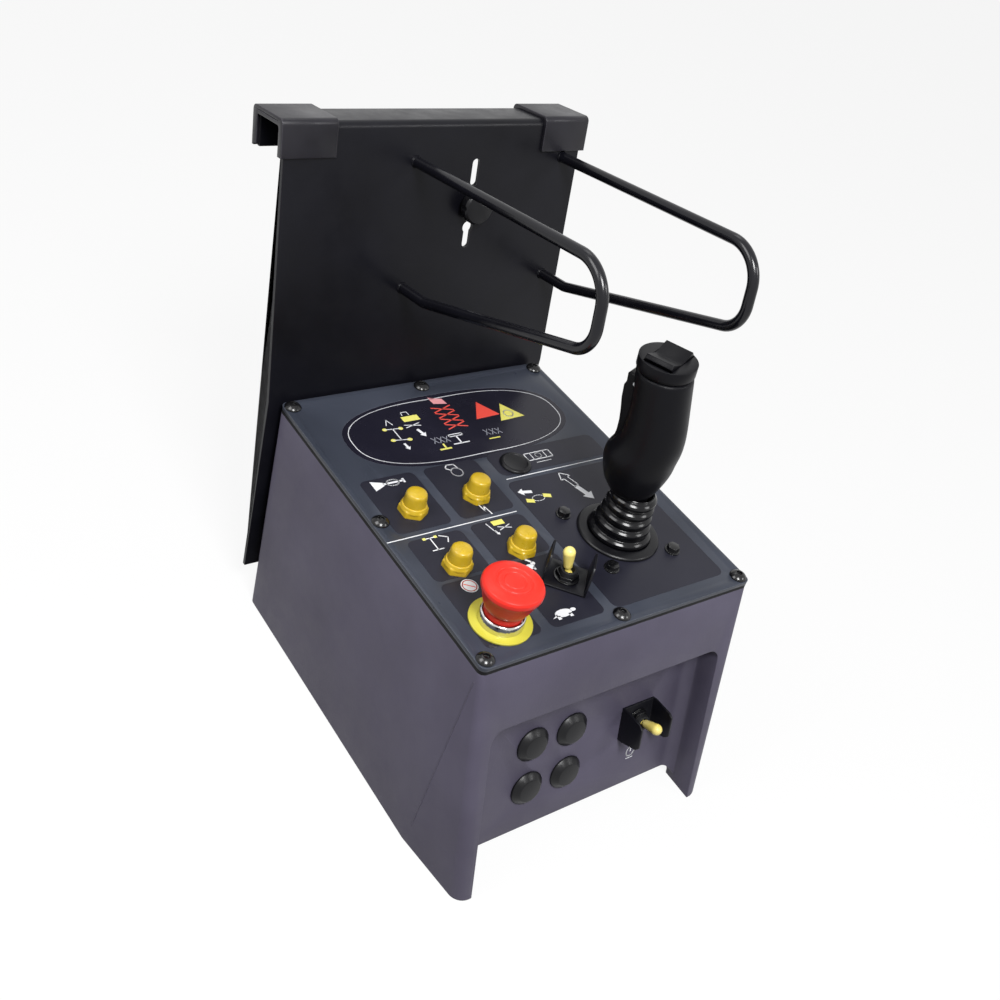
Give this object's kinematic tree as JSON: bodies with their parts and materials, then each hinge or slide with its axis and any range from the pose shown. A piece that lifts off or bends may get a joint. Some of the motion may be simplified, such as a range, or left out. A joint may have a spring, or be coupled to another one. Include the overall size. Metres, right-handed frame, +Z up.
{
  "type": "joystick control box",
  "caption": "Operator's control box: drive joystick, emergency stop, booted push buttons and guarded toggles on a slanted housing with a steel hook plate and two rod hoops.",
  "frame": {"origin": "middle of the bounding box's underside, at the bottom rim", "axes": "+X to the operator's right, +Y from the front legs to the hook plate, +Z up, square to the control panel"},
  "size_m": [0.258, 0.4004, 0.3943],
  "materials": {
    "housing_plastic": "moulded polyethylene, satin",
    "floor_plastic": "flat moulded sheet",
    "black_zinc_screw": "black button-head screws",
    "seal_rubber": "soft black seal",
    "panel_overlay": "printed slate-grey sheet",
    "dark_window": "smoked window",
    "circuit_green": "circuit board",
    "zinc_steel": "zinc-plated steel",
    "black_plastic": "black moulded plastic",
    "black_powder": "black powder coat",
    "pad_rubber": "moulded rubber",
    "estop_yellow": "yellow ring",
    "chrome_bezel": "plated bezel",
    "estop_red": "red mushroom head",
    "boot_yellow": "yellow rubber boot",
    "switch_body": "phenolic switch body",
    "lever_yellow": "yellow lever sleeve",
    "grip_plastic": "textured grip",
    "bellows_rubber": "bellows",
    "terminal_green": "terminal block"
  },
  "bodies": {
    "control_box": {"housing": "housing_plastic", "floor_plate": "floor_plastic", "floor_screws": "black_zinc_screw", "panel_gasket": "seal_rubber", "control_panel": "panel_overlay", "panel_screws": "black_zinc_screw", "display_window": "dark_window", "display_board": "circuit_green", "display_standoffs": "zinc_steel", "blanking_plug": "black_plastic", "hole_plugs": "black_plastic", "bracket_plate": "black_powder", "bracket_bolts": "black_zinc_screw", "bracket_nuts": "zinc_steel", "hook_pad_left": "pad_rubber", "hook_pad_right": "pad_rubber", "hoop_left": "black_powder", "hoop_right": "black_powder", "clamp_washer": "zinc_steel", "clamp_nut": "zinc_steel", "estop_ring": "estop_yellow", "estop_bezel": "chrome_bezel", "estop_nut": "black_zinc_screw", "estop_contacts": "switch_body", "button_boots": "boot_yellow", "button_switches": "switch_body", "speed_switch": "switch_body", "speed_guard": "black_powder", "speed_nut": "black_zinc_screw", "power_switch": "switch_body", "power_guard": "black_powder", "power_nut": "black_zinc_screw", "joystick_base": "switch_body", "joystick_axle": "zinc_steel", "joystick_ring": "black_plastic", "joystick_bellows": "bellows_rubber", "joystick_screws": "black_zinc_screw", "joystick_nuts": "zinc_steel", "control_board": "circuit_green", "board_standoffs": "zinc_steel", "terminal_block": "terminal_green", "cable_gland": "black_plastic", "gland_nut": "black_plastic"},
    "joystick": {"joystick_shaft": "zinc_steel", "grip_shell": "grip_plastic", "grip_cap": "grip_plastic", "trigger_pin": "zinc_steel", "rocker_pin": "zinc_steel"},
    "trigger": {"grip_trigger": "grip_plastic"},
    "rocker": {"grip_rocker": "grip_plastic"},
    "horn_button": {"horn_button": "boot_yellow"},
    "start_button": {"start_button": "boot_yellow"},
    "steer_button": {"steer_button": "boot_yellow"},
    "lift_button": {"lift_button": "boot_yellow"},
    "estop_head": {"estop_head": "estop_red"},
    "speed_lever": {"speed_lever": "lever_yellow"},
    "power_lever": {"power_lever": "lever_yellow"},
    "clamp_knob": {"clamp_knob": "black_plastic"}
  },
  "joints": [
    {"name": "joystick_tilt", "type": "hinge", "parent": "control_box", "child": "joystick", "pos_m": [0.0505, -0.0777, 0.173], "axis": [1, 0, 0], "range_deg": [-20, 20], "stiffness_Nm_per_rad": 5, "deforming": ["joystick_bellows"]},
    {"name": "trigger_pull", "type": "hinge", "parent": "joystick", "child": "trigger", "pos_m": [0.03856, -0.05687, 0.30934], "axis": [-0.9394, -0.3412, -0.0336], "range_deg": [0, 5], "stiffness_Nm_per_rad": 0.6, "springref_deg": -11.46},
    {"name": "rocker_tip", "type": "hinge", "parent": "joystick", "child": "rocker", "pos_m": [0.04179, -0.06773, 0.32939], "axis": [-0.3374, 0.9374, -0.0863], "range_deg": [-10, 10], "stiffness_Nm_per_rad": 0.15},
    {"name": "horn_press", "type": "slide", "parent": "control_box", "child": "horn_button", "axis": [0, 0, -1], "range_m": [0, 0.002], "stiffness_N_per_m": 500, "springref_m": -0.004},
    {"name": "start_press", "type": "slide", "parent": "control_box", "child": "start_button", "axis": [0, 0, -1], "range_m": [0, 0.002], "stiffness_N_per_m": 500, "springref_m": -0.004},
    {"name": "steer_press", "type": "slide", "parent": "control_box", "child": "steer_button", "axis": [0, 0, -1], "range_m": [0, 0.002], "stiffness_N_per_m": 500, "springref_m": -0.004},
    {"name": "lift_press", "type": "slide", "parent": "control_box", "child": "lift_button", "axis": [0, 0, -1], "range_m": [0, 0.002], "stiffness_N_per_m": 500, "springref_m": -0.004},
    {"name": "estop_press", "type": "slide", "parent": "control_box", "child": "estop_head", "axis": [0, 0, -1], "range_m": [0, 0.0045]},
    {"name": "speed_flick", "type": "hinge", "parent": "control_box", "child": "speed_lever", "pos_m": [-0.017, -0.1032, 0.191], "axis": [0.7071, 0.7071, 0], "range_deg": [0, 24]},
    {"name": "power_flick", "type": "hinge", "parent": "control_box", "child": "power_lever", "pos_m": [0.0535, -0.16104, 0.07161], "axis": [1, 0, 0], "range_deg": [0, 24]},
    {"name": "knob_turn", "type": "hinge", "parent": "control_box", "child": "clamp_knob", "pos_m": [0.0305, 0.15036, 0.32363], "axis": [0, -0.9829, 0.184], "continuous": true}
  ]
}
